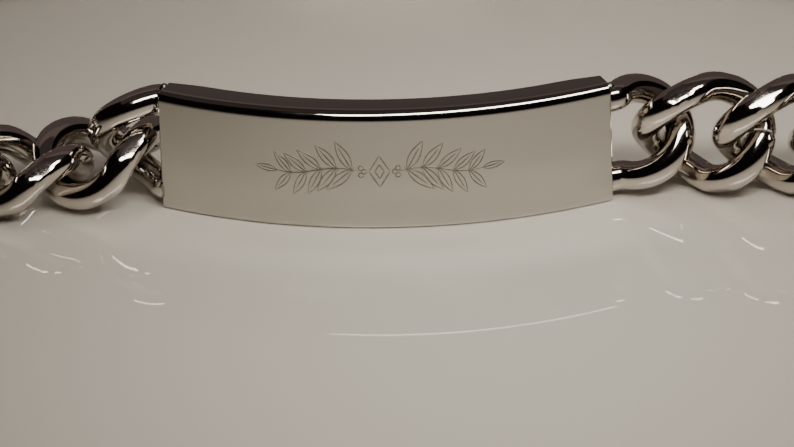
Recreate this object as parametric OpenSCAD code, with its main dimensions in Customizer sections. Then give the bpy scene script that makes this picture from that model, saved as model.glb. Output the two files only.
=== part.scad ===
// Identity bracelet: a curved name plate between two lengths of twisted curb chain,
// closed at the back by a plain bar. It stands on its long edge, plate towards -Y.
// Origin: middle of the plate's lower edge, half way through its thickness.

/* [Plate] */
// Length of the plate along its curved front
plate_len = 38.4; // [30:0.4:46]
// Radius of the plate's curved front
plate_r = 42.1; // [36:0.1:60]
// Height of the plate
plate_h = 10.7; // [9.5:0.1:12]
// Thickness of the plate
plate_t = 2.5; // [2:0.1:3]
// Rounding of the plate's two long front edges
edge_r = 1; // [0.3:0.1:1.2]
// Length of the slope ground off the plate's back at each end
slope_len = 3; // [1:0.5:5]
// How much of the plate's thickness that slope has taken off at the very end
slope_depth = 0.6; // [0.2:0.1:0.9]
// How deep the soldered wires go into the plate and the clasp
solder_depth = 0.1; // [0.1:0.05:0.4]

/* [Chain] */
// Thickness of the wire
wire_d = 2.45; // [2:0.05:2.6]
// Clear length inside a link
open_len = 7.1; // [6.8:0.05:7.6]
// Clear height inside a link
open_h = 5.6; // [5.2:0.05:6]
// Clear height inside the half links at the plate and the clasp
end_open_h = 5; // [4.6:0.05:5.4]
// Turn of a link's tip out of the link's flat, in degrees
link_twist = 47; // [45:0.5:49]
// Share of the play between two links that the chain is pulled out by
pull_share = 0.35; // [0.2:0.05:0.45]

/* [Clasp] */
// Thickness of the clasp bar
clasp_t = 3.2; // [2.8:0.1:4]
// Straight wire between the clasp's half links and its bar
clasp_arm = 1; // [0.4:0.1:1.5]

/* [Hidden] */
$fn = 64;

// A wire is drawn as straight lengths with this many sides, two lengths to each arc
wire_sides = 6;
arc_steps = 2;
// Lengths to an arc where a link's lowest point is looked for
rest_steps = 8;

// Where the chain lies. The soldered half link and the two links after it, on each side.
// Columns: step outwards and step back, both as shares of link_step and counted from the
// piece before, the first from the plate's end; hang, 0 resting and 1 as high as the piece
// before; heading, lean and tilt in degrees.
RIGHT_SHOWN = [
    [0.23, 0.06, 1, 17.5, 3, 3.5],
    [1.025, 0.06, 0, -7.5, 0, 0],
    [1.035, -0.105, 0, 0, -1.5, 0]
];
LEFT_SHOWN = [
    [0.13, 0.04, 1, -20, 2, 5],
    [0.73, 0.25, 0.14, 20, 92, 13],
    [1.04, -0.175, 0, 5, 90, 4]
];
// How many degrees each later link turns towards the back, from the link before
RIGHT_TURNS = [28, 28, 27, 14, 4, 6, 20, 26, 23, 4, 0];
LEFT_TURNS = [29, 30, 27, 12, 4, 6, 18, 30, 23, 6, 0];
// Lean of each side's last link: half a turn, so that it stands upright again
LAST_LEAN = 180;

// Names of a pose's values
X = 0;
Y = 1;
Z = 2;
HEADING = 3;
LEAN = 4;
TILT = 5;
HANG = 2;
LEVEL = 0;

right = 1;
left = -1;
steel = "silver";

// The centre line of a link, in the link's own frame: X along, Y up, Z to the front
half_len = (open_len + wire_d) / 2;
half_h = (open_h + wire_d) / 2;
end_half_h = (end_open_h + wire_d) / 2;
// The tip leaves the flat by link_twist, the top crosses it at a little less
rise_less = 3;
link_rise = link_twist - rise_less;
// Links two apart touch at the least step, and neighbours' tips at the most
least_step = open_len / 2 + wire_d;
most_step = open_len;
link_step = least_step + pull_share * (most_step - least_step);

// The plate's end, in plan: its half angle and the middle of its thickness
plate_angle = plate_len / plate_r * 90 / PI;
plate_mid_r = plate_r - plate_t / 2;
plate_end = plate_mid_r * [sin(plate_angle), 1 - cos(plate_angle)];

// Radius of the bend that brings a half link's wire straight into what it is soldered to
bend_r = wire_d;

function unit(v) = v / norm(v);
function along(heading) = [cos(heading), sin(heading)];

// A quarter of a link is two arcs. From tip to top: its ends and the directions there.
function tip_point() = [half_len, 0, 0];
function tip_way() = [0, cos(link_twist), -sin(link_twist)];
function top_point(height) = [0, height, 0];
function top_way() = [-cos(link_rise), 0, sin(link_rise)];
function meeting(height) =
    let (chord = top_point(height) - tip_point())
    let (way = tip_way() + top_way())
    let (spare = 2 * (1 - tip_way() * top_way()))
    let (on_way = chord * way)
    let (reach = (sqrt(on_way * on_way + spare * (chord * chord)) - on_way) / spare)
    (tip_point() + top_point(height) + reach * (tip_way() - top_way())) / 2;

// An arc from a point, in a direction, to another point: [inward direction, radius, sweep]
function arc_inward(from, way, to) =
    let (chord = to - from)
    unit(chord - (chord * way) * way);
function arc_radius(from, way, to) =
    let (chord = to - from)
    chord * chord / (2 * chord * arc_inward(from, way, to));
function arc_sweep(from, way, to) = 2 * asin(norm(to - from) / (2 * arc_radius(from, way, to)));
function arc_points(from, way, to, steps) =
    let (inward = arc_inward(from, way, to))
    let (radius = arc_radius(from, way, to))
    let (sweep = arc_sweep(from, way, to))
    [for (i = [0:steps])
        from + radius * (1 - cos(sweep * i / steps)) * inward + radius * sin(sweep * i / steps) * way];

function flipped(points, flip) = [for (p = points) [p.x * flip.x, p.y * flip.y, p.z * flip.z]];
function reversed(list) = [for (i = [len(list) - 1:-1:0]) list[i]];
function but_last(list) = [for (i = [0:len(list) - 2]) list[i]];
function but_first(list) = [for (i = [1:len(list) - 1]) list[i]];

// A quarter's centre line from tip to top
function quarter_path(height, steps) = concat(
    arc_points(tip_point(), tip_way(), meeting(height), steps),
    but_first(reversed(arc_points(top_point(height), -top_way(), meeting(height), steps)))
);

// Half turns about the link's own X, Y and Z take one quarter to the other three
about_x = [1, -1, -1];
about_y = [-1, 1, -1];
about_z = [-1, -1, 1];
function round_path(quarter) = concat(
    but_last(quarter),
    but_last(reversed(flipped(quarter, about_y))),
    but_last(flipped(quarter, about_z)),
    but_last(reversed(flipped(quarter, about_x)))
);
link_path = round_path(quarter_path(half_h, arc_steps));
rest_path = round_path(quarter_path(half_h, rest_steps));

// A half link, tip towards +X: from the tip over the top, round the bend and straight back along -X
bend_end = top_point(end_half_h) + bend_r * [-sin(link_rise), 0, 1 - cos(link_rise)];
function half_link_path(arm) =
    let (upper = concat(
        quarter_path(end_half_h, arc_steps),
        but_first(arc_points(top_point(end_half_h), top_way(), bend_end, arc_steps)),
        [bend_end - [arm, 0, 0]]
    ))
    concat(reversed(flipped(but_first(upper), about_x)), upper);

// Height of a link's centre line point once the link is leaned and tilted
function point_height(p, lean, tilt) =
    sin(tilt) * p.x + cos(tilt) * (cos(lean) * p.y + sin(lean) * p.z);
function rest_height(lean, tilt) =
    wire_d / 2 - min([for (p = rest_path) point_height(p, lean, tilt)]);

// Poses, one list a side: the soldered half link first, then the links
function shown_pose(rows, side, i) =
    let (row = rows[i])
    let (before = i == 0 ? [side * plate_end.x, plate_end.y, plate_h / 2] : shown_pose(rows, side, i - 1))
    let (low = rest_height(row[LEAN], row[TILT]))
    [
        before[X] + side * row[X] * link_step,
        before[Y] + row[Y] * link_step,
        low + row[HANG] * (before[Z] - low),
        row[HEADING], row[LEAN], row[TILT]
    ];
function turned_pose(rows, turns, side, i) =
    i < 0 ? shown_pose(rows, side, len(rows) - 1) :
    let (before = turned_pose(rows, turns, side, i - 1))
    let (heading = before[HEADING] + side * turns[i])
    let (step = side * link_step / 2 * (along(before[HEADING]) + along(heading)))
    let (first_lean = rows[len(rows) - 1][LEAN])
    let (lean = first_lean + (-side * LAST_LEAN - first_lean) * (i + 1) / len(turns))
    [before[X] + step.x, before[Y] + step.y, rest_height(lean, LEVEL), heading, lean, LEVEL];
function side_poses(rows, turns, side) = concat(
    [for (i = [0:len(rows) - 1]) shown_pose(rows, side, i)],
    [for (i = [0:len(turns) - 1]) turned_pose(rows, turns, side, i)]
);
right_poses = side_poses(RIGHT_SHOWN, RIGHT_TURNS, right);
left_poses = side_poses(LEFT_SHOWN, LEFT_TURNS, left);

// The clasp's half links stand one step beyond the last links
function clasp_end(poses, side) =
    let (last = poses[len(poses) - 1])
    let (step = side * link_step * along(last[HEADING]))
    [last[X] + step.x, last[Y] + step.y, end_half_h + wire_d / 2, last[HEADING], -side * LAST_LEAN, LEVEL];
clasp_right = clasp_end(right_poses, right);
clasp_left = clasp_end(left_poses, left);
clasp_line = [clasp_left[X] - clasp_right[X], clasp_left[Y] - clasp_right[Y]];
clasp_heading = atan2(clasp_line.y, clasp_line.x);
arm_reach = bend_r * sin(link_rise) + clasp_arm;
clasp_len = norm(clasp_line) - 2 * arm_reach;
// The bar is as high as the half links at its ends
clasp_h = end_open_h + 2 * wire_d;

// Direction of a path at one of its points
function path_way(path, i, closed) =
    let (count = len(path))
    let (next = closed ? path[(i + 1) % count] : path[min(i + 1, count - 1)])
    let (last = closed ? path[(i + count - 1) % count] : path[max(i - 1, 0)])
    unit(next - last);

// Corners of the wire's section at a point of a path that runs round the link's centre
function wire_corners(point, way) =
    let (outward = unit(point - (point * way) * way))
    let (sideways = cross(way, outward))
    [for (i = [0:wire_sides - 1])
        let (turn = (i + 0.5) * 360 / wire_sides)
        point + wire_d / 2 * (cos(turn) * outward + sin(turn) * sideways)];

// The wire's two triangles between one section and the next, for one of its sides
function side_faces(here, next, side) =
    let (a = here * wire_sides + side)
    let (b = here * wire_sides + (side + 1) % wire_sides)
    let (c = next * wire_sides + (side + 1) % wire_sides)
    let (d = next * wire_sides + side)
    [[a, c, b], [a, d, c]];

// A wire along a path that runs round the link's centre, closed or with two flat ends
module wire(path, closed) {
    count = len(path);
    corners = [for (i = [0:count - 1]) each wire_corners(path[i], path_way(path, i, closed))];
    sides = [for (i = [0:count - (closed ? 1 : 2)], side = [0:wire_sides - 1])
        each side_faces(i, (i + 1) % count, side)];
    first_end = [for (side = [0:wire_sides - 1]) side];
    last_end = [for (side = [wire_sides - 1:-1:0]) (count - 1) * wire_sides + side];
    polyhedron(corners, concat(sides, closed ? [] : [first_end, last_end]));
}

// Stands its child, modelled in a link's own frame, in a pose
module posed(pose) {
    translate([pose[X], pose[Y], pose[Z]])
        rotate([0, 0, pose[HEADING]])
            rotate([0, -pose[TILT], 0])
                rotate([90 - pose[LEAN], 0, 0])
                    children();
}

// Section of the plate, from its back at x = plate_r - plate_t to its front at x = plate_r
module plate_section() {
    back = plate_r - plate_t;
    translate([back, 0]) square([plate_t - edge_r, plate_h]);
    translate([back, edge_r]) square([plate_t, plate_h - 2 * edge_r]);
    translate([plate_r - edge_r, edge_r]) circle(r = edge_r);
    translate([plate_r - edge_r, plate_h - edge_r]) circle(r = edge_r);
}

// What is ground off the plate's back at one of its ends
module ground_off(side) {
    room = 2 * slope_len;
    translate([side * plate_end.x, plate_end.y, 0])
        rotate([0, 0, side * plate_angle])
            translate([0, plate_t / 2 - slope_depth, -plate_h / 2])
                rotate([0, 0, -side * atan(slope_depth / slope_len)])
                    translate([-room, 0, 0])
                        cube([2 * room, room, 2 * plate_h]);
}

module plate_body() {
    difference() {
        translate([0, plate_mid_r, 0])
            rotate([0, 0, -90 - plate_angle])
                rotate_extrude(angle = 2 * plate_angle)
                    plate_section();
        ground_off(right);
        ground_off(left);
    }
}

// Everything on the plate's side of one of its ends, less the depth of the solder
module plate_side(side) {
    room = 4 * plate_h;
    translate([side * plate_end.x, plate_end.y, plate_h / 2])
        rotate([0, 0, side * plate_angle])
            translate([-side * (room / 2 + solder_depth), 0, 0])
                cube(room, center = true);
}

module plate_half_link(pose, side) {
    difference() {
        posed(pose)
            rotate([0, side == right ? 0 : 180, 0])
                wire(half_link_path(plate_t), false);
        plate_side(side);
    }
}

module id_plate() {
    color(steel) {
        plate_body();
        plate_half_link(right_poses[0], right);
        plate_half_link(left_poses[0], left);
    }
}

// The bar's outline, lying along X from 0 to clasp_len, round at all four corners
module clasp_outline() {
    corner_r = wire_d / 2;
    inner = [clasp_len - 2 * corner_r, clasp_h - 2 * corner_r];
    translate([corner_r, -clasp_h / 2]) square([inner.x, clasp_h]);
    translate([0, -inner.y / 2]) square([clasp_len, inner.y]);
    for (x = [corner_r, clasp_len - corner_r], y = [-inner.y / 2, inner.y / 2])
        translate([x, y]) circle(r = corner_r);
}

module clasp() {
    color(steel) {
        translate([clasp_right[X], clasp_right[Y], clasp_right[Z]])
            rotate([0, 0, clasp_heading])
                translate([arm_reach, clasp_t / 2, 0])
                    rotate([90, 0, 0])
                        linear_extrude(clasp_t)
                            clasp_outline();
        posed(clasp_right)
            rotate([0, 180, 0])
                wire(half_link_path(clasp_arm + solder_depth), false);
        posed(clasp_left)
            wire(half_link_path(clasp_arm + solder_depth), false);
    }
}

module link(pose) {
    color(steel)
        posed(pose)
            wire(link_path, true);
}

id_plate();
clasp();
link(right_poses[1]);  // link_right_01
link(right_poses[2]);  // link_right_02
link(right_poses[3]);  // link_right_03
link(right_poses[4]);  // link_right_04
link(right_poses[5]);  // link_right_05
link(right_poses[6]);  // link_right_06
link(right_poses[7]);  // link_right_07
link(right_poses[8]);  // link_right_08
link(right_poses[9]);  // link_right_09
link(right_poses[10]);  // link_right_10
link(right_poses[11]);  // link_right_11
link(right_poses[12]);  // link_right_12
link(right_poses[13]);  // link_right_13
link(left_poses[1]);  // link_left_01
link(left_poses[2]);  // link_left_02
link(left_poses[3]);  // link_left_03
link(left_poses[4]);  // link_left_04
link(left_poses[5]);  // link_left_05
link(left_poses[6]);  // link_left_06
link(left_poses[7]);  // link_left_07
link(left_poses[8]);  // link_left_08
link(left_poses[9]);  // link_left_09
link(left_poses[10]);  // link_left_10
link(left_poses[11]);  // link_left_11
link(left_poses[12]);  // link_left_12
link(left_poses[13]);  // link_left_13
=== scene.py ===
import math

import bpy
import numpy as np
from mathutils import Matrix, Vector, geometry


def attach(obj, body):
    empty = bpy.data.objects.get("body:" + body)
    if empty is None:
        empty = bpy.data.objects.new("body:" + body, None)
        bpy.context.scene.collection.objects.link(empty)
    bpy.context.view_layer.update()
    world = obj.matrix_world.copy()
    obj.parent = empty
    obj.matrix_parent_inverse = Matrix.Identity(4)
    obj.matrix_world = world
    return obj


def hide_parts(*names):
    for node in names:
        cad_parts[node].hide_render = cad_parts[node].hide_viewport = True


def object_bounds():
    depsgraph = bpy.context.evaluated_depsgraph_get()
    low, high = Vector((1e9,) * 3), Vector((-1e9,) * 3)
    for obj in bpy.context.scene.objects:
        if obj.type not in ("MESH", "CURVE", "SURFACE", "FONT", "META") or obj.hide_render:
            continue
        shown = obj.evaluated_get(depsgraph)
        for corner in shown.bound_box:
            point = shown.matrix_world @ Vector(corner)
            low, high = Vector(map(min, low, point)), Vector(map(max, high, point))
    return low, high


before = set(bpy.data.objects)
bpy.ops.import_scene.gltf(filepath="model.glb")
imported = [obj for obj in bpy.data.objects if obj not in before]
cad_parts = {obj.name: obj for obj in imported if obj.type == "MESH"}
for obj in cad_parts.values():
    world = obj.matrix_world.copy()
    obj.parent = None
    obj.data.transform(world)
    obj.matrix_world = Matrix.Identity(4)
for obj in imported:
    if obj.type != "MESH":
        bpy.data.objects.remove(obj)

# An identity bracelet of polished steel: a curved name plate, twisted curb links and a plain bar clasp.
# Everything is in metres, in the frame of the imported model.
cad_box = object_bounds()
MM = 0.001

# The plate, with the sizes of its solid
PLATE_LENGTH = 38.4 * MM
PLATE_RADIUS = 42.1 * MM
PLATE_HEIGHT = 10.7 * MM
PLATE_THICKNESS = 2.5 * MM
TOP_ROUNDING = 1.0 * MM
FOOT_ROUNDING = 0.3 * MM
BACK_ROUNDING = 0.18 * MM
END_ROUNDING = 0.12 * MM
TOP_ROUNDING_STEPS = 12
FOOT_ROUNDING_STEPS = 6
BACK_ROUNDING_STEPS = 4
END_ROUNDING_STEPS = 3
ROUNDING_MARGIN = 0.03 * MM
END_FACING = 0.999
PLATE_STEPS = 144
SLOPE_LENGTH = 3.0 * MM
SLOPE_DEPTH = 0.6 * MM
PLATE_HALF_ANGLE = PLATE_LENGTH / PLATE_RADIUS / 2
PLATE_MIDDLE_RADIUS = PLATE_RADIUS - PLATE_THICKNESS / 2
PLATE_END = PLATE_MIDDLE_RADIUS * np.array([math.sin(PLATE_HALF_ANGLE), 1 - math.cos(PLATE_HALF_ANGLE)])

# The chain's wire and links, with the sizes of their solids
WIRE = 2.45 * MM
OPEN_LENGTH = 7.1 * MM
OPEN_HEIGHT = 5.6 * MM
END_OPEN_HEIGHT = 5.0 * MM
LINK_TWIST = math.radians(47)
LINK_RISE = math.radians(44)
CHAIN_PULL = 0.35
HALF_LENGTH = (OPEN_LENGTH + WIRE) / 2
HALF_HEIGHT = (OPEN_HEIGHT + WIRE) / 2
END_HALF_HEIGHT = (END_OPEN_HEIGHT + WIRE) / 2
LEAST_STEP = OPEN_LENGTH / 2 + WIRE
LINK_STEP = LEAST_STEP + CHAIN_PULL * (OPEN_LENGTH - LEAST_STEP)
ARC_STEPS = 14
ARM_STEPS = 5
WIRE_ROUNDNESS = 14
TIP = np.array([HALF_LENGTH, 0, 0])
TIP_WAY = np.array([0, math.cos(LINK_TWIST), -math.sin(LINK_TWIST)])
TOP_WAY = np.array([-math.cos(LINK_RISE), 0, math.sin(LINK_RISE)])

# Each link is filed along its four outer shoulders, where a share of the roundness is left as a crown,
# and shows the seam where it was closed
FLAT_LEAN = math.radians(44.5)
FLAT_DEPTH = 0.18 * MM
FLAT_CROWN = 0.12
LINK_SMOOTHING = math.radians(16)
SEAM_WIDTH = 0.18 * MM
SEAM_SHRINK = 0.91

# How the soldered half links stand at the plate's ends: steps out and back as shares of a
# link's step, then heading, lean and tilt in degrees
RIGHT_HALF_LINK = (0.23, 0.06, 17.5, 3, 3.5)
LEFT_HALF_LINK = (0.13, 0.08, -20, 2, 5)
SOLDER_DEPTH = 0.1 * MM
FILLET = 0.22 * MM
FILLET_SIDES = 40
FILLET_LEVELS = (0.1, 0.25, 0.45, 0.7)
FILLET_WAVE = 0.3
FILLET_LOBES = 3
FILLET_TURN = 1
BEAD = 0.5 * MM
BEAD_SHAPE = (0.9, 0.8, 1.1)
BEAD_HEIGHT = 0.78 * WIRE / 2

# The clasp's bar
CLASP_THICKNESS = 3.2 * MM
CLASP_ARM = 1.0 * MM
CLASP_HEIGHT = END_OPEN_HEIGHT + 2 * WIRE
CLASP_ROUNDING = 0.45 * MM

# The engraved sprigs on the plate's front: two stems with leaves and berries about a lozenge
SPRIG_MIDDLE = -0.4 * MM
SPRIG_HEIGHT = 5.3 * MM
SPRIG_START = 1.5 * MM
SPRIG_REACH = 9.2 * MM
SPRIG_WAVE = 0.28 * MM
LEAF_PAIRS = 5
LEAF_LENGTH = 2.7 * MM
LEAF_WIDTH = 0.8 * MM
LEAF_LEAN = math.radians(52)
LEAF_FULLNESS = 0.85
BERRY = 0.2 * MM
LOZENGE = 1.15 * MM
# Shares of the stem's length: where it ends, where the leaf pairs start, how far they spread and
# where the last leaf springs
STEM_END = 0.93
FIRST_PAIR = 0.1
PAIR_SPREAD = 0.82
LAST_LEAF = 0.9
# Sizes as shares: the leaves at the stem's root, what they lose up to its tip, and the last leaf
ROOT_LEAF_SIZE = 1.1
LEAF_LOSS = 0.35
LAST_LEAF_SIZE = 0.7
# Shares of the leaf's length between which its midrib runs
MIDRIB = (-0.12, 0.78)
# Middles of a stem's berries from its root, outwards and up, as shares of a berry's radius
BERRIES = ((-1.2, 0), (0.1, 1.6), (0.1, -1.6))
# Corners of the lozenge as shares of its size, and the sizes at which it is drawn
LOZENGE_CORNERS = ((0.75, 0), (0, 1.25), (-0.75, 0), (0, -1.25), (0.75, 0))
LOZENGE_SIZES = (1, 0.45)
CUT_WIDTH = 0.11 * MM
CUT_DEPTH = 0.018 * MM
CUT_FLOOR = 0.001 * MM
CUT_BODY = 0.03 * MM
CUT_TAPER = 0.2
TAPER_END = 1e-9

# The camera, found from the plate's corners in the photograph
VIEW_WIDTH = 794
VIEW_HEIGHT = 447
VIEW_ELEVATION = math.radians(28)
VIEW_HEADING = math.radians(2.65)
VIEW_ROLL = math.radians(2.15)
VIEW_DISTANCE = 622.25 * MM
PIXELS_PER_METRE = 12242
AIM = Vector((0, -PLATE_THICKNESS / 2, 0))
AIM_PIXEL = (386.5, 229)
SENSOR_MM = 36

# A pool of light painted into the table's colour: its middle and reach, and the painted tone beyond it as a
# share; then where the gloss fades out behind it
PAINTED_POOL_MIDDLE = (10 * MM, -11 * MM)
PAINTED_POOL_REACH = (81 * MM, 104 * MM)
PAINTED_POOL_EDGE = 0.28
GLOSS_FADE = (4 * MM, 18 * MM)

# How finely faces are merged and smoothed
MERGE_DISTANCE = 0.0001 * MM
SMOOTHING = math.radians(30)

# Sockets of a colour mix node
MIX_FACTOR = 0
MIX_FIRST = 6
MIX_SECOND = 7
MIX_RESULT = 2


def deselect():
    if bpy.context.object and bpy.context.object.mode != "OBJECT":
        bpy.ops.object.mode_set(mode="OBJECT")
    bpy.ops.object.select_all(action="DESELECT")


def activate(*pieces):
    """Selects these pieces alone, with the first one active."""
    deselect()
    for piece in pieces:
        piece.select_set(True)
    bpy.context.view_layer.objects.active = pieces[0]
    return pieces[0]


def join(pieces):
    activate(*pieces)
    bpy.ops.object.join()
    return pieces[0]


def copy(piece):
    """A copy with its own mesh."""
    other = piece.copy()
    other.data = piece.data.copy()
    bpy.context.collection.objects.link(other)
    return other


def select_where(piece, kind, test):
    """Selects the vertices, edges or faces of a piece that pass a test, and goes to edit mode on them."""
    activate(piece)
    bpy.ops.object.mode_set(mode="EDIT")
    bpy.ops.mesh.select_mode(type=kind)
    bpy.ops.mesh.select_all(action="DESELECT")
    bpy.ops.object.mode_set(mode="OBJECT")
    for element in {"VERT": piece.data.vertices, "EDGE": piece.data.edges, "FACE": piece.data.polygons}[kind]:
        element.select = bool(test(element))
    bpy.ops.object.mode_set(mode="EDIT")


def score(piece, point, way):
    """Cuts all of a piece's faces along a plane, so that what lies beyond it keeps its own shape."""
    select_where(piece, "FACE", lambda face: True)
    bpy.ops.mesh.bisect(plane_co=point, plane_no=way)
    bpy.ops.object.mode_set(mode="OBJECT")


def close_and_orient(piece):
    """Merges doubled vertices, turns all faces outwards and smooths all but the sharp edges."""
    activate(piece)
    bpy.ops.object.mode_set(mode="EDIT")
    bpy.ops.mesh.select_all(action="SELECT")
    bpy.ops.mesh.remove_doubles(threshold=MERGE_DISTANCE)
    bpy.ops.mesh.normals_make_consistent(inside=False)
    bpy.ops.object.mode_set(mode="OBJECT")
    bpy.ops.object.shade_smooth_by_angle(angle=SMOOTHING)


def finish(piece, name, material, slot, *nodes):
    """Puts a piece's place into its mesh, gives it its material and hangs it on the model."""
    activate(piece)
    bpy.ops.object.transform_apply(location=True, rotation=True, scale=True)
    piece.name = name
    piece.data.name = name
    piece.data.materials.clear()
    piece.data.materials.append(material)
    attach(piece, "root")
    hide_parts(*nodes)


# Materials
def linear(hex_colour):
    """A colour written as sRGB hex, as linear RGBA."""
    values = [int(hex_colour[i:i + 2], 16) / 255 for i in (1, 3, 5)]
    return [v / 12.92 if v <= 0.04045 else ((v + 0.055) / 1.055) ** 2.4 for v in values] + [1]


def add_node(material, kind, settings=None, **links):
    """Adds a node with its properties and socket values, and links its inputs to other nodes' outputs."""
    node = material.node_tree.nodes.new(kind)
    for key, value in (settings or {}).items():
        if isinstance(key, str) and hasattr(node, key):
            setattr(node, key, value)
        else:
            node.inputs[key].default_value = value
    for socket, source in links.items():
        material.node_tree.links.new(source, node.inputs[socket])
    return node


def new_material(name, settings):
    material = bpy.data.materials.new(name)
    material.use_nodes = True
    shader = material.node_tree.nodes["Principled BSDF"]
    for key, value in settings.items():
        shader.inputs[key].default_value = value
    return material, shader


def mirror_polished_steel():
    """Buffed stainless sheet: a clear, slightly warm mirror with hair scratches along it and faint smears."""
    material, shader = new_material("mirror_polished_steel", {"Metallic": 1, "Base Color": linear("#BAB7B0")})
    place = add_node(material, "ShaderNodeTexCoord")
    # Hair scratches 0.05 mm wide and 3 mm long
    stretched = add_node(material, "ShaderNodeMapping", {
        "Scale": (1 / (3 * MM), 1 / (0.05 * MM), 1 / (0.05 * MM)),
    }, Vector=place.outputs["Object"])
    scratches = add_node(material, "ShaderNodeTexNoise", {
        "Scale": 1, "Detail": 3,
    }, Vector=stretched.outputs["Vector"])
    # Smears left by a finger, 4 mm across
    smears = add_node(material, "ShaderNodeTexNoise", {
        "Scale": 1 / (4 * MM), "Detail": 4,
    }, Vector=place.outputs["Object"])
    roughness = add_node(material, "ShaderNodeMapRange", {
        "From Min": 0.35, "From Max": 0.75, "To Min": 0.05, "To Max": 0.11,
    }, Value=smears.outputs["Fac"])
    bump = add_node(material, "ShaderNodeBump", {
        "Strength": 0.04, "Distance": 0.01 * MM,
    }, Height=scratches.outputs["Fac"])
    material.node_tree.links.new(roughness.outputs["Result"], shader.inputs["Roughness"])
    material.node_tree.links.new(bump.outputs["Normal"], shader.inputs["Normal"])
    return material


def buffed_steel_wire():
    """Drawn stainless wire, tumbled and buffed: a bright mirror, a little wavy where it was bent."""
    material, shader = new_material("buffed_steel_wire", {"Metallic": 1, "Base Color": linear("#CBC4BC")})
    place = add_node(material, "ShaderNodeTexCoord")
    # Low waves 1.6 mm apart from drawing and bending
    waves = add_node(material, "ShaderNodeTexNoise", {
        "Scale": 1 / (1.6 * MM), "Detail": 1,
    }, Vector=place.outputs["Object"])
    # Tumbling marks 0.12 mm across
    marks = add_node(material, "ShaderNodeTexNoise", {
        "Scale": 1 / (0.12 * MM), "Detail": 3,
    }, Vector=place.outputs["Object"])
    wavy = add_node(material, "ShaderNodeBump", {
        "Strength": 0.07, "Distance": 0.05 * MM,
    }, Height=waves.outputs["Fac"])
    marked = add_node(material, "ShaderNodeBump", {
        "Strength": 0.01, "Distance": 0.01 * MM,
    }, Height=marks.outputs["Fac"], Normal=wavy.outputs["Normal"])
    roughness = add_node(material, "ShaderNodeMapRange", {
        "From Min": 0.3, "From Max": 0.7, "To Min": 0.05, "To Max": 0.12,
    }, Value=marks.outputs["Fac"])
    material.node_tree.links.new(roughness.outputs["Result"], shader.inputs["Roughness"])
    material.node_tree.links.new(marked.outputs["Normal"], shader.inputs["Normal"])
    return material


def brushed_steel():
    """Linished stainless bar: satin lines 0.08 mm apart and 6 mm long that run along it."""
    material, shader = new_material("brushed_steel", {"Metallic": 1, "Base Color": linear("#BDB7AE")})
    place = add_node(material, "ShaderNodeTexCoord")
    stretched = add_node(material, "ShaderNodeMapping", {
        "Scale": (1 / (6 * MM), 1 / (0.08 * MM), 1 / (0.08 * MM)),
    }, Vector=place.outputs["Object"])
    lines = add_node(material, "ShaderNodeTexNoise", {
        "Scale": 1, "Detail": 4,
    }, Vector=stretched.outputs["Vector"])
    roughness = add_node(material, "ShaderNodeMapRange", {
        "From Min": 0.3, "From Max": 0.7, "To Min": 0.16, "To Max": 0.3,
    }, Value=lines.outputs["Fac"])
    bump = add_node(material, "ShaderNodeBump", {
        "Strength": 0.15, "Distance": 0.01 * MM,
    }, Height=lines.outputs["Fac"])
    material.node_tree.links.new(roughness.outputs["Result"], shader.inputs["Roughness"])
    material.node_tree.links.new(bump.outputs["Normal"], shader.inputs["Normal"])
    return material


def graver_cut_painted_shade():
    """The walls of a graver's line: cut steel, duller than the polish around them, with the groove's shade
    painted into its darker colour.
    """
    material, shader = new_material("graver_cut_painted_shade", {"Metallic": 1, "Roughness": 0.3})
    place = add_node(material, "ShaderNodeTexCoord")
    # Chatter of the graver, a mark every 0.2 mm
    chatter = add_node(material, "ShaderNodeTexNoise", {
        "Scale": 1 / (0.2 * MM), "Detail": 2,
    }, Vector=place.outputs["Object"])
    # Both tones are darker than the polish: painted shade in the groove, varied by the chatter
    tone = add_node(material, "ShaderNodeMix", {
        "data_type": "RGBA", MIX_FIRST: linear("#7D756B"), MIX_SECOND: linear("#B0A698"),
    })
    material.node_tree.links.new(chatter.outputs["Fac"], tone.inputs[MIX_FACTOR])
    material.node_tree.links.new(tone.outputs[MIX_RESULT], shader.inputs["Base Color"])
    return material


def silver_solder():
    """Silver solder, flowed and lightly buffed: soft highlights and a finely pitted skin."""
    material, shader = new_material("silver_solder", {"Metallic": 1, "Base Color": linear("#D2CCC0")})
    place = add_node(material, "ShaderNodeTexCoord")
    # Pits 0.15 mm across
    pits = add_node(material, "ShaderNodeTexNoise", {
        "Scale": 1 / (0.15 * MM), "Detail": 2,
    }, Vector=place.outputs["Object"])
    roughness = add_node(material, "ShaderNodeMapRange", {
        "To Min": 0.12, "To Max": 0.3,
    }, Value=pits.outputs["Fac"])
    bump = add_node(material, "ShaderNodeBump", {
        "Strength": 0.3, "Distance": 0.02 * MM,
    }, Height=pits.outputs["Fac"])
    material.node_tree.links.new(roughness.outputs["Result"], shader.inputs["Roughness"])
    material.node_tree.links.new(bump.outputs["Normal"], shader.inputs["Normal"])
    return material


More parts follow.
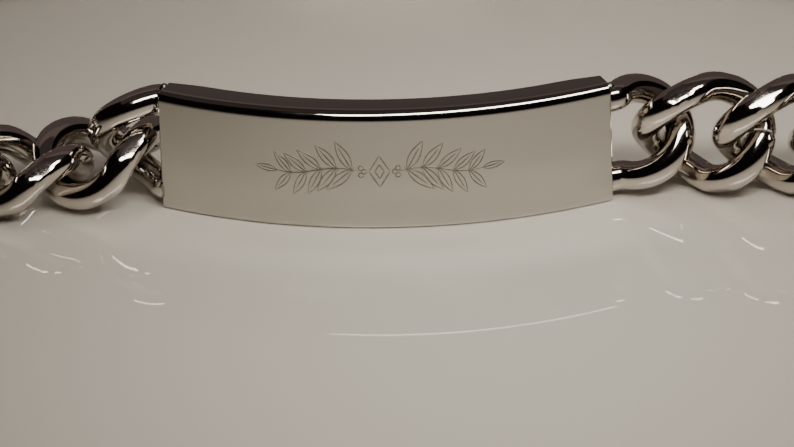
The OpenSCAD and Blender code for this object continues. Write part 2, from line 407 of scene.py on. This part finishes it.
def lacquered_table():
    """A lacquered table top in pale warm grey, with a clear gloss coat. A pool of light is painted into its
    colour, which darkens away from the lit place, and behind the plate the coat is rubbed dull."""
    material, shader = new_material("lacquered_table", {"Roughness": 0.55, "Coat Roughness": 0.03})
    place = add_node(material, "ShaderNodeTexCoord")
    # The lacquer's tone drifts a little over 60 mm
    drift = add_node(material, "ShaderNodeTexNoise", {
        "Scale": 1 / (60 * MM), "Detail": 2,
    }, Vector=place.outputs["Object"])
    tone = add_node(material, "ShaderNodeMix", {
        "data_type": "RGBA", MIX_FIRST: linear("#D0CBC0"), MIX_SECOND: linear("#D3CEC3"),
    })
    material.node_tree.links.new(drift.outputs["Fac"], tone.inputs[MIX_FACTOR])
    # A pool of light painted into the colour: away from the lit place the tone is multiplied down to a share
    (x, y), (wide, deep) = PAINTED_POOL_MIDDLE, PAINTED_POOL_REACH
    in_pool = add_node(material, "ShaderNodeMapping", {
        "Location": (-x / wide, -y / deep, 0), "Scale": (1 / wide, 1 / deep, 0),
    }, Vector=place.outputs["Object"])
    pool = add_node(material, "ShaderNodeTexGradient", {
        "gradient_type": "SPHERICAL",
    }, Vector=in_pool.outputs["Vector"])
    painted_light_falloff = add_node(material, "ShaderNodeMapRange", {
        "interpolation_type": "SMOOTHSTEP", "To Min": PAINTED_POOL_EDGE, "To Max": 1.0,
    }, Value=pool.outputs["Fac"])
    painted_shade_mix = add_node(material, "ShaderNodeMix", {
        "data_type": "RGBA", "blend_type": "MULTIPLY", MIX_FACTOR: 1.0,
    })
    material.node_tree.links.new(tone.outputs[MIX_RESULT], painted_shade_mix.inputs[MIX_FIRST])
    material.node_tree.links.new(painted_light_falloff.outputs["Result"], painted_shade_mix.inputs[MIX_SECOND])
    material.node_tree.links.new(painted_shade_mix.outputs[MIX_RESULT], shader.inputs["Base Color"])
    axes = add_node(material, "ShaderNodeSeparateXYZ", Vector=place.outputs["Object"])
    gloss = add_node(material, "ShaderNodeMapRange", {
        "From Min": GLOSS_FADE[0], "From Max": GLOSS_FADE[1], "To Min": 1.0, "To Max": 0.0,
    }, Value=axes.outputs["Y"])
    material.node_tree.links.new(gloss.outputs["Result"], shader.inputs["Coat Weight"])
    return material


# The links' wire, bent as their solids are
def unit(vector):
    return vector / np.linalg.norm(vector)


def meeting(top):
    """Where the two arcs of a quarter of a link meet."""
    chord = top - TIP
    way = TIP_WAY + TOP_WAY
    spare = 2 * (1 - TIP_WAY @ TOP_WAY)
    on_way = chord @ way
    reach = (math.sqrt(on_way ** 2 + spare * (chord @ chord)) - on_way) / spare
    return (TIP + top + reach * (TIP_WAY - TOP_WAY)) / 2


def arc(start, way, end):
    """Points along the arc that leaves start in a direction and ends at end."""
    chord = end - start
    inward = unit(chord - (chord @ way) * way)
    radius = chord @ chord / (2 * chord @ inward)
    sweep = 2 * math.asin(np.linalg.norm(chord) / (2 * radius))
    turns = np.linspace(0, sweep, ARC_STEPS + 1)[:, None]
    return start + radius * (1 - np.cos(turns)) * inward + radius * np.sin(turns) * way


def quarter(half_height):
    """A quarter of a link's centre line, from tip to top."""
    top = np.array([0, half_height, 0])
    middle = meeting(top)
    return np.vstack([arc(TIP, TIP_WAY, middle), arc(top, -TOP_WAY, middle)[-2::-1]])


def link_path():
    part = quarter(HALF_HEIGHT)
    return np.vstack([
        part[:-1],
        (part * [-1, 1, -1])[:0:-1],
        (part * [-1, -1, 1])[:-1],
        (part * [1, -1, -1])[:0:-1],
    ])


def half_link_path(arm, bend):
    """A half link, tip towards +X, with both arms bent straight and run back along -X."""
    top = np.array([0, END_HALF_HEIGHT, 0])
    bend_end = top + bend * np.array([-math.sin(LINK_RISE), 0, 1 - math.cos(LINK_RISE)])
    straight = np.linspace(bend_end, bend_end - [arm, 0, 0], ARM_STEPS + 1)
    upper = np.vstack([quarter(END_HALF_HEIGHT), arc(top, TOP_WAY, bend_end)[1:], straight[1:]])
    return np.vstack([(upper * [1, -1, -1])[:0:-1], upper])


def bend_wire(path, closed):
    """A ring of vertices is laid along a path, opened if need be, and thickened to a round wire."""
    deselect()
    bpy.ops.mesh.primitive_circle_add(vertices=len(path), radius=HALF_LENGTH)
    wire = bpy.context.object
    if not closed:
        select_where(wire, "EDGE", lambda edge: set(edge.vertices) == {0, len(path) - 1})
        bpy.ops.mesh.delete(type="EDGE")
        bpy.ops.object.mode_set(mode="OBJECT")
    for vertex, point in zip(wire.data.vertices, path):
        vertex.co = point
    bpy.ops.object.convert(target="CURVE")
    wire.data.dimensions = "3D"
    wire.data.bevel_depth = WIRE / 2
    wire.data.bevel_resolution = WIRE_ROUNDNESS
    wire.data.use_fill_caps = not closed
    bpy.ops.object.convert(target="MESH")
    close_and_orient(wire)
    return wire


def stand(piece, axes, centre):
    """Stands a piece whose own X runs along, Y up and Z to the front."""
    piece.matrix_world = Matrix.Translation(centre) @ axes.to_4x4()


def pose_axes(heading, lean, tilt):
    """The axes of a piece turned as the solid's poses turn it, in degrees."""
    turn = Matrix.Rotation(math.radians(heading), 3, "Z")
    turn = turn @ Matrix.Rotation(-math.radians(tilt), 3, "Y")
    return turn @ Matrix.Rotation(math.radians(90 - lean), 3, "X")


def link_place(name):
    """The middle and axes of a packed link. It is alike about all three, so they are its main axes."""
    corners = np.array([vertex.co[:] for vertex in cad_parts[name].data.vertices])
    corners = np.unique(corners.round(7), axis=0)
    middle = corners.mean(axis=0)
    axes = np.linalg.eigh((corners - middle).T @ (corners - middle))[1][:, ::-1]
    # Its own X follows the chain round anticlockwise, as seen from above
    round_chain = np.cross([0, 0, 1], middle - np.mean(cad_box, axis=0))
    if axes[:, 0] @ round_chain < 0:
        axes[:, 0] *= -1
    axes[:, 2] = np.cross(axes[:, 0], axes[:, 1])
    return Vector(middle), Matrix(axes.tolist())


def file_flats(link):
    """Files a link's four shoulders: what stands above each cut is flattened to a slight crown."""
    for up in (1, -1):
        for out in (1, -1):
            way = Vector((0, up * math.sin(FLAT_LEAN), out * math.cos(FLAT_LEAN)))
            level = max(vertex.co.dot(way) for vertex in link.data.vertices) - FLAT_DEPTH
            score(link, way * level, way)
            # What lies on the cut itself stays
            select_where(link, "VERT", lambda vertex: vertex.co.dot(way) > level + FLAT_DEPTH / 1000)
            across = Vector((1, 0, 0))
            bpy.ops.transform.resize(
                value=(1, 1, FLAT_CROWN), orient_type="GLOBAL", orient_matrix_type="GLOBAL",
                orient_matrix=(across, way.cross(across), way), center_override=way * level,
            )
            bpy.ops.object.mode_set(mode="OBJECT")


def cut_seam(link):
    """The seam where the link was closed: a fine groove round the wire at one tip."""
    tip, way = Vector(TIP), Vector(TIP_WAY)
    for side in (-1, 1):
        select_where(link, "FACE", lambda face: (face.center - tip).length < WIRE)
        bpy.ops.mesh.bisect(plane_co=tip + side * SEAM_WIDTH / 2 * way, plane_no=way)
        bpy.ops.object.mode_set(mode="OBJECT")
    select_where(link, "VERT", lambda vertex: (vertex.co - tip).length < WIRE
                 and abs((vertex.co - tip).dot(way)) < SEAM_WIDTH / 4)
    bpy.ops.transform.resize(value=(SEAM_SHRINK, SEAM_SHRINK, SEAM_SHRINK), center_override=tip)
    bpy.ops.object.mode_set(mode="OBJECT")


def make_links(material):
    first = bend_wire(link_path(), closed=True)
    cut_seam(first)
    file_flats(first)
    activate(first)
    bpy.ops.object.shade_smooth_by_angle(angle=LINK_SMOOTHING)
    for name in sorted(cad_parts):
        if name.startswith("link_"):
            link = copy(first)
            middle, axes = link_place(name)
            stand(link, axes, middle)
            finish(link, "curb_" + name, material, "link_steel", name)
    bpy.data.objects.remove(first)


# The plate
def round_corner(plate, depth, height, radius, steps):
    """Rounds the one corner of the section that is nearest to a place."""
    place = Vector((0, depth, height))
    nearest = min(plate.data.vertices, key=lambda vertex: (vertex.co - place).length).index
    select_where(plate, "VERT", lambda vertex: vertex.index == nearest)
    bpy.ops.mesh.bevel(offset=radius, segments=steps, affect="VERTICES")
    bpy.ops.object.mode_set(mode="OBJECT")


def grind_back(plate, side):
    """Grinds the plate's back off towards an end, as a plain slope, with a stone larger than the slope."""
    room = 4 * SLOPE_LENGTH
    slope = math.atan(SLOPE_DEPTH / SLOPE_LENGTH)
    deselect()
    bpy.ops.mesh.primitive_cube_add(size=1)
    stone = bpy.context.object
    stone.matrix_world = (
        Matrix.Translation((side * PLATE_END[0], PLATE_END[1], PLATE_HEIGHT / 2))
        @ Matrix.Rotation(side * PLATE_HALF_ANGLE, 4, "Z")
        @ Matrix.Translation((0, PLATE_THICKNESS / 2 - SLOPE_DEPTH, 0))
        @ Matrix.Rotation(-side * slope, 4, "Z")
        @ Matrix.Translation((0, room / 4, 0))
        @ Matrix.Diagonal((room, room / 2, 2 * PLATE_HEIGHT, 1))
    )
    activate(plate)
    ground = plate.modifiers.new("ground", "BOOLEAN")
    ground.operation = "DIFFERENCE"
    ground.solver = "EXACT"
    ground.object = stone
    bpy.ops.object.modifier_apply(modifier=ground.name)
    bpy.data.objects.remove(stone)


def roll_plate():
    """The plate's section, drawn at one end and rounded, is spun along the curve to the other end."""
    deselect()
    bpy.ops.mesh.primitive_plane_add(size=1, rotation=(0, math.pi / 2, 0), location=(0, 0, PLATE_HEIGHT / 2))
    plate = bpy.context.object
    plate.scale = (PLATE_HEIGHT, PLATE_THICKNESS, 1)
    bpy.ops.object.transform_apply(location=True, rotation=True, scale=True)
    half = PLATE_THICKNESS / 2
    round_corner(plate, -half, PLATE_HEIGHT, TOP_ROUNDING, TOP_ROUNDING_STEPS)
    round_corner(plate, -half, 0, FOOT_ROUNDING, FOOT_ROUNDING_STEPS)
    round_corner(plate, half, PLATE_HEIGHT, BACK_ROUNDING, BACK_ROUNDING_STEPS)
    round_corner(plate, half, 0, BACK_ROUNDING, BACK_ROUNDING_STEPS)
    # Cuts beside the roundings keep the flats between them flat
    for height in (FOOT_ROUNDING + ROUNDING_MARGIN, PLATE_HEIGHT - TOP_ROUNDING - ROUNDING_MARGIN):
        score(plate, (0, 0, height), (0, 0, 1))
    back = PLATE_THICKNESS - BACK_ROUNDING - ROUNDING_MARGIN
    for depth in (FOOT_ROUNDING + ROUNDING_MARGIN, TOP_ROUNDING + ROUNDING_MARGIN, back):
        score(plate, (0, depth - half, 0), (0, 1, 0))
    centre = Vector((0, PLATE_MIDDLE_RADIUS, 0))
    plate.matrix_world = (Matrix.Translation(centre) @ Matrix.Rotation(-PLATE_HALF_ANGLE, 4, "Z")
                          @ Matrix.Translation(-centre))
    bpy.ops.object.transform_apply(location=True, rotation=True, scale=True)
    select_where(plate, "FACE", lambda face: True)
    bpy.ops.mesh.spin(steps=PLATE_STEPS, angle=-2 * PLATE_HALF_ANGLE, center=centre, axis=(0, 0, 1))
    bpy.ops.object.mode_set(mode="OBJECT")
    close_and_orient(plate)
    for side in (1, -1):
        way = Vector((side * math.cos(PLATE_HALF_ANGLE), math.sin(PLATE_HALF_ANGLE), 0))
        grind_back(plate, side)
        # The end's outline is made of the edges that only one of its faces has
        uses = {}
        for face in plate.data.polygons:
            if face.normal.dot(way) > END_FACING:
                for key in face.edge_keys:
                    uses[key] = uses.get(key, 0) + 1
        select_where(plate, "EDGE", lambda edge: uses.get(edge.key, 0) == 1)
        bpy.ops.mesh.bevel(offset=END_ROUNDING, segments=END_ROUNDING_STEPS, affect="EDGES")
        bpy.ops.object.mode_set(mode="OBJECT")
    close_and_orient(plate)
    return plate


def plate_half_link(side, pose):
    """A half link as it is soldered to the plate: cut off a little way inside the plate's end."""
    out, back, heading, lean, tilt = pose
    path = half_link_path(PLATE_THICKNESS, WIRE / 2)
    wire = bend_wire(path, closed=False)
    axes = pose_axes(heading, lean, tilt)
    if side < 0:
        axes = axes @ Matrix.Rotation(math.pi, 3, "Y")
    along = side * (PLATE_END[0] + out * LINK_STEP)
    middle = Vector((along, PLATE_END[1] + back * LINK_STEP, PLATE_HEIGHT / 2))
    stand(wire, axes, middle)
    activate(wire)
    bpy.ops.object.transform_apply(location=True, rotation=True, scale=True)
    way = Vector((side * math.cos(PLATE_HALF_ANGLE), math.sin(PLATE_HALF_ANGLE), 0))
    end = Vector((side * PLATE_END[0], PLATE_END[1], 0))
    joints = []
    for inner, outer in ((path[0], path[1]), (path[-1], path[-2])):
        inner, outer = middle + axes @ Vector(inner), middle + axes @ Vector(outer)
        joints.append(geometry.intersect_line_plane(inner, outer, end, way))
    select_where(wire, "FACE", lambda face: True)
    bpy.ops.mesh.bisect(plane_co=end - SOLDER_DEPTH * way, plane_no=way, clear_inner=True, use_fill=True)
    bpy.ops.object.mode_set(mode="OBJECT")
    close_and_orient(wire)
    return wire, joints


def flow_solder(side, joints):
    """The solder of a half link: a hollow fillet with three lobes round each arm, narrowed across the
    plate's end, and a bead left on the upper arm."""
    way = Vector((side * math.cos(PLATE_HALF_ANGLE), math.sin(PLATE_HALF_ANGLE), 0))
    front = Vector((side * math.sin(PLATE_HALF_ANGLE), -math.cos(PLATE_HALF_ANGLE), 0))
    up = Vector((0, 0, 1))
    axes = Matrix((way.cross(up), up, way)).transposed().to_4x4()
    foot = WIRE / 2 + FILLET
    flows = []
    for joint in joints:
        deselect()
        bpy.ops.mesh.primitive_cone_add(
            vertices=FILLET_SIDES, radius1=foot, radius2=WIRE / 2, depth=FILLET, location=(0, 0, FILLET / 2),
        )
        flow = bpy.context.object
        bpy.ops.object.transform_apply(location=True, rotation=True, scale=True)
        for share in FILLET_LEVELS:
            score(flow, (0, 0, share * FILLET), (0, 0, 1))
        for vertex in flow.data.vertices:
            round_wire = math.atan2(vertex.co.y, vertex.co.x)
            high = vertex.co.z / FILLET
            wave = 1 + FILLET_WAVE * math.sin(FILLET_LOBES * round_wire + FILLET_TURN)
            reach = (1 - math.sqrt(high * (2 - high))) * wave
            narrow = WIRE / 2 / foot
            vertex.co.x = (WIRE / 2 + FILLET * reach) * math.cos(round_wire) * narrow
            vertex.co.y = (WIRE / 2 + FILLET * reach) * math.sin(round_wire)
        flow.matrix_world = Matrix.Translation(joint) @ axes
        flows.append(flow)
    top = max(joints, key=lambda joint: joint.z)
    bpy.ops.object.select_all(action="DESELECT")
    bpy.ops.mesh.primitive_uv_sphere_add(segments=24, ring_count=14, radius=BEAD)
    bead = bpy.context.object
    bead.scale = BEAD_SHAPE
    bead.location = top + BEAD / 2 * (way + front) + BEAD_HEIGHT * up
    flows.append(bead)
    return join(flows)


# The engraving, drawn flat with X along the plate, Y up it and Z out of its face
def cut_line(points):
    """One stroke of the graver: a shallow groove between two burrs, tapered to both ends."""
    points = np.array(points)
    count = len(points) - 1
    deselect()
    bpy.ops.mesh.primitive_grid_add(x_subdivisions=count, y_subdivisions=2, size=1)
    line = bpy.context.object
    ways = np.gradient(points, axis=0)
    for vertex in line.data.vertices:
        step = round((vertex.co.x + 0.5) * count)
        side = round(2 * vertex.co.y)
        fullness = CUT_TAPER + (1 - CUT_TAPER) * math.sqrt(math.sin(math.pi * step / count) + TAPER_END)
        along = unit(ways[step])
        place = points[step] + side * fullness * CUT_WIDTH / 2 * np.array([-along[1], along[0]])
        vertex.co = (*place, CUT_FLOOR + abs(side) * fullness * CUT_DEPTH)
    return line


def draw_leaf():
    """A pointed leaf from its root along +X: two sides and a midrib."""
    along = np.linspace(0, 1, 15)
    half_width = LEAF_WIDTH / 2 * np.sin(math.pi * along ** LEAF_FULLNESS)
    sides = [cut_line(np.stack([along * LEAF_LENGTH, way * half_width], axis=1)) for way in (1, -1)]
    midrib = cut_line(np.stack([np.linspace(*MIDRIB, 9) * LEAF_LENGTH, np.zeros(9)], axis=1))
    return join([*sides, midrib])


def draw_ring(radius):
    turns = np.linspace(0, 2 * math.pi, 25)
    return cut_line(radius * np.stack([np.cos(turns), np.sin(turns)], axis=1))


def lay(piece, place, heading=0.0, scale=1.0):
    """Lays a drawn piece at a place, turned to a heading."""
    piece.matrix_world = (Matrix.Translation((*place, 0)) @ Matrix.Rotation(heading, 4, "Z")
                          @ Matrix.Diagonal((scale, scale, 1, 1)))
    return piece


def engrave_sprigs():
    """Two leafy sprigs that spread from a lozenge on the plate's front, with berries at their roots."""
    leaf = draw_leaf()
    berry = draw_ring(BERRY)
    drawn = []

    def on_stem(share, side):
        """A place on a stem, and the stem's heading there."""
        along = SPRIG_START + share * (SPRIG_REACH - SPRIG_START)
        lift = SPRIG_WAVE * math.sin(2 * math.pi * share)
        slope = SPRIG_WAVE * 2 * math.pi / (SPRIG_REACH - SPRIG_START) * math.cos(2 * math.pi * share)
        return np.array([side * along, lift]), math.atan2(slope, side)

    for side in (1, -1):
        drawn.append(cut_line([on_stem(share, side)[0] for share in np.linspace(0, STEM_END, 49)]))
        for pair in range(LEAF_PAIRS):
            share = FIRST_PAIR + PAIR_SPREAD * pair / LEAF_PAIRS
            place, heading = on_stem(share, side)
            for lean in (LEAF_LEAN, -LEAF_LEAN):
                drawn.append(lay(copy(leaf), place, heading + lean, ROOT_LEAF_SIZE - LEAF_LOSS * share))
        place, heading = on_stem(LAST_LEAF, side)
        drawn.append(lay(copy(leaf), place, heading, LAST_LEAF_SIZE))
        root = on_stem(0, side)[0]
        for along, up in BERRIES:
            drawn.append(lay(copy(berry), root + BERRY * np.array([side * along, up])))
    corners = np.array(LOZENGE_CORNERS) * LOZENGE
    for size in LOZENGE_SIZES:
        for start, end in zip(size * corners[:-1], size * corners[1:]):
            drawn.append(cut_line([start + (end - start) * share for share in np.linspace(0, 1, 9)]))
    for piece in (leaf, berry):
        bpy.data.objects.remove(piece)
    sprigs = join(drawn)
    bpy.ops.object.transform_apply(location=True, rotation=True, scale=True)
    for vertex in sprigs.data.vertices:
        along, up, out = vertex.co
        turn = (along + SPRIG_MIDDLE) / PLATE_RADIUS
        radius = PLATE_RADIUS + out
        depth = PLATE_MIDDLE_RADIUS - radius * math.cos(turn)
        vertex.co = (radius * math.sin(turn), depth, up + SPRIG_HEIGHT)
    body = sprigs.modifiers.new("body", "SOLIDIFY")
    body.thickness = CUT_BODY
    body.offset = -1
    bpy.ops.object.modifier_apply(modifier=body.name)
    close_and_orient(sprigs)
    return sprigs


# The clasp
def clasp_end(name, before):
    """Where a half link of the clasp stands, one step beyond a side's last link, and the way there."""
    last, axes = link_place(name)
    way = axes.col[0].copy()
    if way.dot(last - link_place(before)[0]) < 0:
        way.negate()
    return last + LINK_STEP * way, way


def rise(bar, edge):
    """How far apart in height an edge's two ends are."""
    first, second = edge.vertices
    return abs(bar.data.vertices[first].co.z - bar.data.vertices[second].co.z)


def make_clasp(material):
    """A rounded bar between two half links. Gives the middles of these and the ways that they face."""
    right_middle, right_way = clasp_end("link_right_13", "link_right_12")
    left_middle, left_way = clasp_end("link_left_13", "link_left_12")
    line = left_middle - right_middle
    arm_reach = WIRE * math.sin(LINK_RISE) + CLASP_ARM
    deselect()
    bpy.ops.mesh.primitive_cube_add(size=1)
    bar = bpy.context.object
    bar.scale = (line.length - 2 * arm_reach, CLASP_HEIGHT, CLASP_THICKNESS)
    bpy.ops.object.transform_apply(location=True, rotation=True, scale=True)
    select_where(bar, "EDGE", lambda edge: rise(bar, edge) > CLASP_THICKNESS / 2)
    bpy.ops.mesh.bevel(offset=WIRE / 2, segments=12, affect="EDGES")
    bpy.ops.object.mode_set(mode="OBJECT")
    select_where(bar, "EDGE", lambda edge: rise(bar, edge) < CLASP_THICKNESS / 4)
    bpy.ops.mesh.bevel(offset=CLASP_ROUNDING, segments=5, affect="EDGES")
    bpy.ops.object.mode_set(mode="OBJECT")
    up = Vector((0, 0, 1))
    along = line.normalized()
    stand(bar, Matrix((along, up, along.cross(up))).transposed(), (left_middle + right_middle) / 2)
    close_and_orient(bar)
    finish(bar, "clasp_bar", material, "clasp_steel", "clasp")
    return [(right_middle, -right_way), (left_middle, -left_way)]


def clasp_half_links(ends, material):
    for name, (middle, way) in zip(("clasp_right_half_link", "clasp_left_half_link"), ends):
        wire = bend_wire(half_link_path(CLASP_ARM + SOLDER_DEPTH, WIRE), closed=False)
        up = Vector((0, 0, 1))
        stand(wire, Matrix((way, up, way.cross(up))).transposed(), middle)
        finish(wire, name, material, "clasp_steel", "clasp")


steel_plate = mirror_polished_steel()
steel_wire = buffed_steel_wire()
steel_bar = brushed_steel()
make_links(steel_wire)
plate = roll_plate()
finish(plate, "curved_plate", steel_plate, "plate_steel", "id_plate")
finish(engrave_sprigs(), "engraved_sprigs", graver_cut_painted_shade(), "plate_steel", "id_plate")
solder = silver_solder()
for name, side, pose in (("plate_right", 1, RIGHT_HALF_LINK), ("plate_left", -1, LEFT_HALF_LINK)):
    half_link, joints = plate_half_link(side, pose)
    finish(half_link, name + "_half_link", steel_wire, "plate_steel", "id_plate")
    finish(flow_solder(side, joints), name + "_solder", solder, "plate_steel", "id_plate")
clasp_half_links(make_clasp(steel_bar), steel_wire)


# Camera, floor and lights
def place_camera():
    """The camera stands where the photograph was taken, turned so that the aim falls on its pixel."""
    deselect()
    bpy.ops.object.camera_add()
    camera = bpy.context.object
    focal_pixels = PIXELS_PER_METRE * VIEW_DISTANCE
    turn_right = math.atan((VIEW_WIDTH / 2 - AIM_PIXEL[0]) / focal_pixels)
    turn_up = math.atan((AIM_PIXEL[1] - VIEW_HEIGHT / 2) / focal_pixels)
    camera.matrix_world = (
        Matrix.Translation(AIM) @ Matrix.Rotation(VIEW_HEADING, 4, "Z")
        @ Matrix.Rotation(math.pi / 2 - VIEW_ELEVATION, 4, "X") @ Matrix.Translation((0, 0, VIEW_DISTANCE))
        @ Matrix.Rotation(-VIEW_ROLL, 4, "Z") @ Matrix.Rotation(-turn_right, 4, "Y")
        @ Matrix.Rotation(turn_up, 4, "X")
    )
    camera.data.sensor_width = SENSOR_MM
    camera.data.lens = focal_pixels / VIEW_WIDTH * SENSOR_MM
    bpy.context.scene.camera = camera


def lay_table():
    deselect()
    bpy.ops.mesh.primitive_plane_add(size=6)
    table = bpy.context.object
    table.name = "table_top"
    table.data.materials.append(lacquered_table())


def add_light(name, place, target, size, power, colour):
    deselect()
    bpy.ops.object.light_add(type="AREA", location=place)
    lamp = bpy.context.object
    lamp.name = name
    lamp.rotation_euler = (Vector(target) - Vector(place)).to_track_quat("-Z", "Y").to_euler()
    lamp.data.shape = "RECTANGLE"
    lamp.data.size, lamp.data.size_y = size
    lamp.data.energy = power
    lamp.data.color = linear(colour)[:3]
    return lamp


def light_the_studio():
    """One soft box in front to the right, in a dim room with a faint wall beyond the table and a faint
    ceiling. A glow from overhead fills the shadows and isn't seen in the metal."""
    add_light("soft_box", (0.12, -0.28, 0.45), (0.01, -0.01, 0), (0.55, 0.1), 3.0, "#FFF9F0")
    add_light("far_wall", (0, 1.4, 0.9), (0, 0, 0), (4, 3), 3.6, "#FFE6E0")
    add_light("dim_ceiling", (0, 0.1, 1.8), (0, 0, 0), (3, 2), 0.9, "#FFE6E0")
    glow = add_light("overhead_glow", (0, 0.05, 1.1), (0, 0, 0), (1.2, 0.9), 5.4, "#FFF9F0")
    glow.visible_glossy = False
    world = bpy.data.worlds.new("dim_room")
    bpy.context.scene.world = world
    world.use_nodes = True
    world.node_tree.nodes["Background"].inputs["Color"].default_value = linear("#0C0808")
    # Keeps the light that the polished steel throws on the table
    bpy.context.scene.cycles.blur_glossy = 0


place_camera()
lay_table()
light_the_studio()
